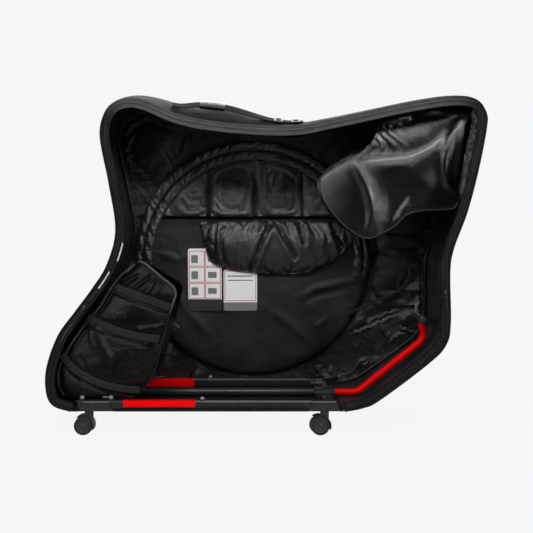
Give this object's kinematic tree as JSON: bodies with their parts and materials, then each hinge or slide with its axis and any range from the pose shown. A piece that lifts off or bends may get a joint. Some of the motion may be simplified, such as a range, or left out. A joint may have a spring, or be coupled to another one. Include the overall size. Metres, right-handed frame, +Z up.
{
  "type": "soft bike travel bag",
  "caption": "Soft padded travel bag for a bicycle, open on one side, with a wheel pocket, rear pouch, handlebar cover and a rolling metal stand with axle mounts.",
  "frame": {"origin": "on the floor, under the middle of the bag's box", "axes": "+X to the front of the bag, where the fork mount is; +Y away from the open side; +Z up"},
  "size_m": [1.2172, 0.4294, 0.9295],
  "materials": {
    "shell_fabric": "matt black padded polyester",
    "rim_fabric": "charcoal binding tape with the zip's chain on it",
    "lining_fabric": "black quilted nylon lining",
    "gloss_fabric": "glossy black coated nylon",
    "webbing": "black woven webbing",
    "card_stock": "laminated card",
    "black_metal": "black anodised, satin",
    "red_metal": "red anodised, satin",
    "bright_metal": "polished",
    "caster_plastic": "black nylon",
    "wheel_rubber": "dark grey tread"
  },
  "bodies": {
    "bag": {"far_side_panel": "shell_fabric", "rear_gusset": "shell_fabric", "top_gusset": "shell_fabric", "front_gusset": "shell_fabric", "base_tray": "shell_fabric", "zip_rim": "rim_fabric", "wheel_pocket": "gloss_fabric", "pocket_roll": "gloss_fabric", "upper_pad": "lining_fabric", "label_card_left": "card_stock", "label_card_right": "card_stock", "bar_cover": "gloss_fabric", "rear_pouch": "gloss_fabric", "pouch_strap_top": "webbing", "pouch_strap_middle": "webbing", "pouch_strap_bottom": "webbing", "top_handle_webbing": "webbing", "top_handle_grip": "gloss_fabric", "handle_adjuster_front": "bright_metal", "handle_adjuster_rear": "bright_metal", "near_rail": "black_metal", "far_rail": "black_metal", "near_sleeve": "red_metal", "far_sleeve": "red_metal", "center_tube": "black_metal", "front_cross_member": "black_metal", "rear_cross_member": "black_metal", "rear_post": "red_metal", "rear_hub": "bright_metal", "rear_skewer": "bright_metal", "bracket_rear_near": "black_metal", "bracket_rear_far": "black_metal", "bracket_front_near": "black_metal", "bracket_front_far": "black_metal"},
    "caster_rear_near": {"caster_rear_near_housing": "caster_plastic"},
    "caster_rear_near_wheel_near": {"caster_rear_near_wheel_near": "wheel_rubber"},
    "caster_rear_near_wheel_far": {"caster_rear_near_wheel_far": "wheel_rubber"},
    "caster_rear_far": {"caster_rear_far_housing": "caster_plastic"},
    "caster_rear_far_wheel_near": {"caster_rear_far_wheel_near": "wheel_rubber"},
    "caster_rear_far_wheel_far": {"caster_rear_far_wheel_far": "wheel_rubber"},
    "caster_front_near": {"caster_front_near_housing": "caster_plastic"},
    "caster_front_near_wheel_near": {"caster_front_near_wheel_near": "wheel_rubber"},
    "caster_front_near_wheel_far": {"caster_front_near_wheel_far": "wheel_rubber"},
    "caster_front_far": {"caster_front_far_housing": "caster_plastic"},
    "caster_front_far_wheel_near": {"caster_front_far_wheel_near": "wheel_rubber"},
    "caster_front_far_wheel_far": {"caster_front_far_wheel_far": "wheel_rubber"},
    "fork_mount": {"front_mount_tube": "red_metal", "front_hub": "bright_metal", "front_skewer": "bright_metal"},
    "slide_lever": {"slide_lever": "bright_metal"},
    "front_skewer_lever": {"front_skewer_lever": "bright_metal"},
    "rear_skewer_lever": {"rear_skewer_lever": "bright_metal"},
    "zip_slider_rear": {"zip_slider_rear": "bright_metal"},
    "zip_pull_rear": {"zip_pull_rear": "bright_metal"},
    "zip_slider_front": {"zip_slider_front": "bright_metal"},
    "zip_pull_front": {"zip_pull_front": "bright_metal"}
  },
  "joints": [
    {"name": "caster_rear_near_swivel", "type": "hinge", "parent": "bag", "child": "caster_rear_near", "pos_m": [-0.48195, -0.18918, 0.058], "axis": [0, 0, 1], "continuous": true},
    {"name": "caster_rear_near_wheel_near_spin", "type": "hinge", "parent": "caster_rear_near", "child": "caster_rear_near_wheel_near", "pos_m": [-0.49595, -0.20078, 0.025], "axis": [0, 1, 0], "continuous": true},
    {"name": "caster_rear_near_wheel_far_spin", "type": "hinge", "parent": "caster_rear_near", "child": "caster_rear_near_wheel_far", "pos_m": [-0.49595, -0.17758, 0.025], "axis": [0, 1, 0], "continuous": true},
    {"name": "caster_rear_far_swivel", "type": "hinge", "parent": "bag", "child": "caster_rear_far", "pos_m": [-0.48195, 0.18918, 0.058], "axis": [0, 0, 1], "continuous": true},
    {"name": "caster_rear_far_wheel_near_spin", "type": "hinge", "parent": "caster_rear_far", "child": "caster_rear_far_wheel_near", "pos_m": [-0.49595, 0.17758, 0.025], "axis": [0, 1, 0], "continuous": true},
    {"name": "caster_rear_far_wheel_far_spin", "type": "hinge", "parent": "caster_rear_far", "child": "caster_rear_far_wheel_far", "pos_m": [-0.49595, 0.20078, 0.025], "axis": [0, 1, 0], "continuous": true},
    {"name": "caster_front_near_swivel", "type": "hinge", "parent": "bag", "child": "caster_front_near", "pos_m": [0.15232, -0.18918, 0.058], "axis": [0, 0, 1], "continuous": true},
    {"name": "caster_front_near_wheel_near_spin", "type": "hinge", "parent": "caster_front_near", "child": "caster_front_near_wheel_near", "pos_m": [0.14055, -0.20303, 0.025], "axis": [-0.1736, 0.9848, 0], "continuous": true},
    {"name": "caster_front_near_wheel_far_spin", "type": "hinge", "parent": "caster_front_near", "child": "caster_front_near_wheel_far", "pos_m": [0.13652, -0.18019, 0.025], "axis": [-0.1736, 0.9848, 0], "continuous": true},
    {"name": "caster_front_far_swivel", "type": "hinge", "parent": "bag", "child": "caster_front_far", "pos_m": [0.15232, 0.18918, 0.058], "axis": [0, 0, 1], "continuous": true},
    {"name": "caster_front_far_wheel_near_spin", "type": "hinge", "parent": "caster_front_far", "child": "caster_front_far_wheel_near", "pos_m": [0.13652, 0.18019, 0.025], "axis": [0.1736, 0.9848, 0], "continuous": true},
    {"name": "caster_front_far_wheel_far_spin", "type": "hinge", "parent": "caster_front_far", "child": "caster_front_far_wheel_far", "pos_m": [0.14055, 0.20303, 0.025], "axis": [0.1736, 0.9848, 0], "continuous": true},
    {"name": "fork_mount_slide", "type": "slide", "parent": "bag", "child": "fork_mount", "axis": [1, 0, 0], "range_m": [-0.05, 0.004]},
    {"name": "slide_lever_turn", "type": "hinge", "parent": "bag", "child": "slide_lever", "pos_m": [0.16357, 0.027, 0.1017], "axis": [0, -1, 0], "range_deg": [-110, 0]},
    {"name": "front_skewer_lever_turn", "type": "hinge", "parent": "fork_mount", "child": "front_skewer_lever", "pos_m": [0.4378, 0.0633, 0.29596], "axis": [1, 0, 0], "range_deg": [-110, 0]},
    {"name": "rear_skewer_lever_turn", "type": "hinge", "parent": "bag", "child": "rear_skewer_lever", "pos_m": [-0.46195, 0.0783, 0.21997], "axis": [1, 0, 0], "range_deg": [-110, 0]},
    {"name": "zip_slider_rear_run", "type": "slide", "parent": "bag", "child": "zip_slider_rear", "axis": [-0.5662, -0.0772, -0.8206], "range_m": [-0.02, 0.02]},
    {"name": "zip_pull_rear_swing", "type": "hinge", "parent": "zip_slider_rear", "child": "zip_pull_rear", "pos_m": [-0.50127, -0.18928, 0.33135], "axis": [-0.8243, 0.053, 0.5637], "range_deg": [0, 120]},
    {"name": "zip_slider_front_run", "type": "slide", "parent": "bag", "child": "zip_slider_front", "axis": [0, -0.0937, -0.9956], "range_m": [-0.02, 0.04]},
    {"name": "zip_pull_front_swing", "type": "hinge", "parent": "zip_slider_front", "child": "zip_pull_front", "pos_m": [0.47838, -0.1858, 0.36829], "axis": [-1, 0, 0], "range_deg": [0, 120]}
  ]
}
